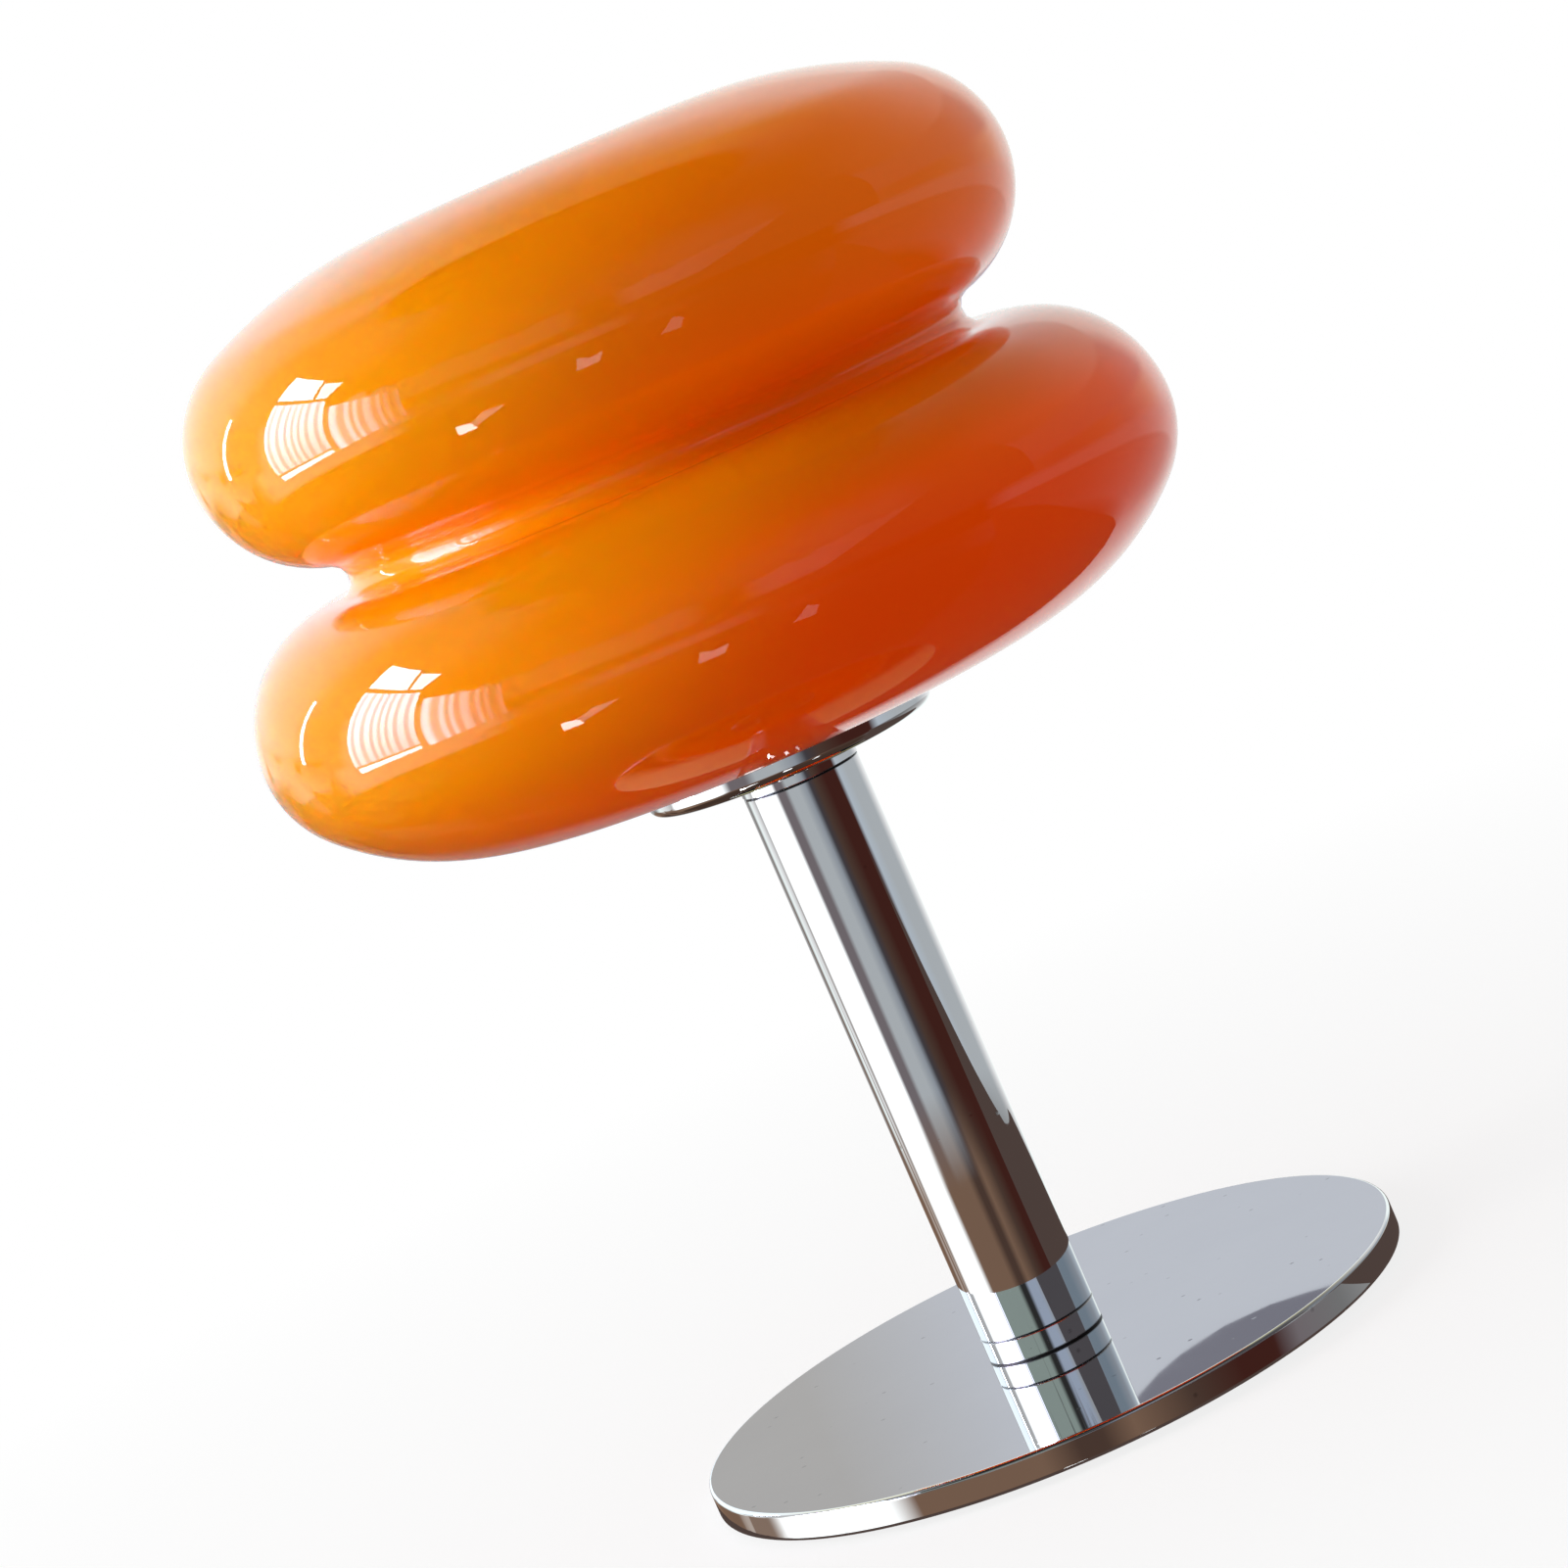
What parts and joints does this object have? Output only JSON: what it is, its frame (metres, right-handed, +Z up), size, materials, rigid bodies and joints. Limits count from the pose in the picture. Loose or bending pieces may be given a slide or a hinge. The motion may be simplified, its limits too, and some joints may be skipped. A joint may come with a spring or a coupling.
{
  "type": "bedside table lamp",
  "caption": "Bedside table lamp: glossy orange glass shade with two rounded lobes and a waist, on a chrome dish, straight tube stem and round disc base.",
  "frame": {"origin": "centre of the face that the lamp stands on, under the base", "axes": "+Z up along the stem; +Y to the back, where the cord's inlet is; +X to the right seen from the front"},
  "size_m": [0.198, 0.198, 0.2687],
  "materials": {
    "orange_glass": "glossy cased opal glass",
    "chrome": "mirror polished",
    "pad_rubber": "matt, cut from sheet",
    "black_rubber": "satin",
    "clear_silicone": "translucent satin",
    "zinc_steel": "zinc plated",
    "spring_steel": "rolled strip",
    "holder_plastic": "moulded, satin",
    "porcelain": "unglazed",
    "brass": "drawn",
    "nickel": "rolled, plated",
    "brown_insulation": "smooth",
    "blue_insulation": "smooth",
    "connector_plastic": "moulded",
    "opal_glass": "opal, satin",
    "bulb_plastic": "moulded",
    "black_glass": "fused insulator"
  },
  "bodies": {
    "stand": {"base_pad": "pad_rubber", "base_plate": "chrome", "base_washer": "zinc_steel", "base_screw": "zinc_steel", "foot_collar": "chrome", "stem_tube": "chrome", "cord_grommet": "black_rubber", "top_collar": "chrome", "gallery_plate": "chrome", "gallery_gasket": "clear_silicone", "glass_clip_1": "spring_steel", "glass_clip_2": "spring_steel", "glass_clip_3": "spring_steel", "clip_screws": "zinc_steel", "nipple": "zinc_steel", "lock_washer": "zinc_steel", "lock_nut": "zinc_steel", "holder_cap": "holder_plastic", "holder_body": "holder_plastic", "holder_insulator": "porcelain", "holder_shell": "brass", "holder_contact": "brass", "lead_live": "brown_insulation", "lead_neutral": "blue_insulation", "splice_block": "connector_plastic"},
    "shade": {"glass_shade": "orange_glass"},
    "bulb": {"bulb_globe": "opal_glass", "bulb_collar": "bulb_plastic", "bulb_screw_cap": "nickel", "bulb_insulator": "black_glass", "bulb_contact": "brass"}
  },
  "joints": [
    {"name": "shade_lift", "type": "slide", "parent": "stand", "child": "shade", "axis": [0, 0, 1], "range_m": [0, 0.12]},
    {"name": "bulb_out", "type": "slide", "parent": "stand", "child": "bulb", "axis": [0, 0, 1], "range_m": [0, 0.02]}
  ]
}
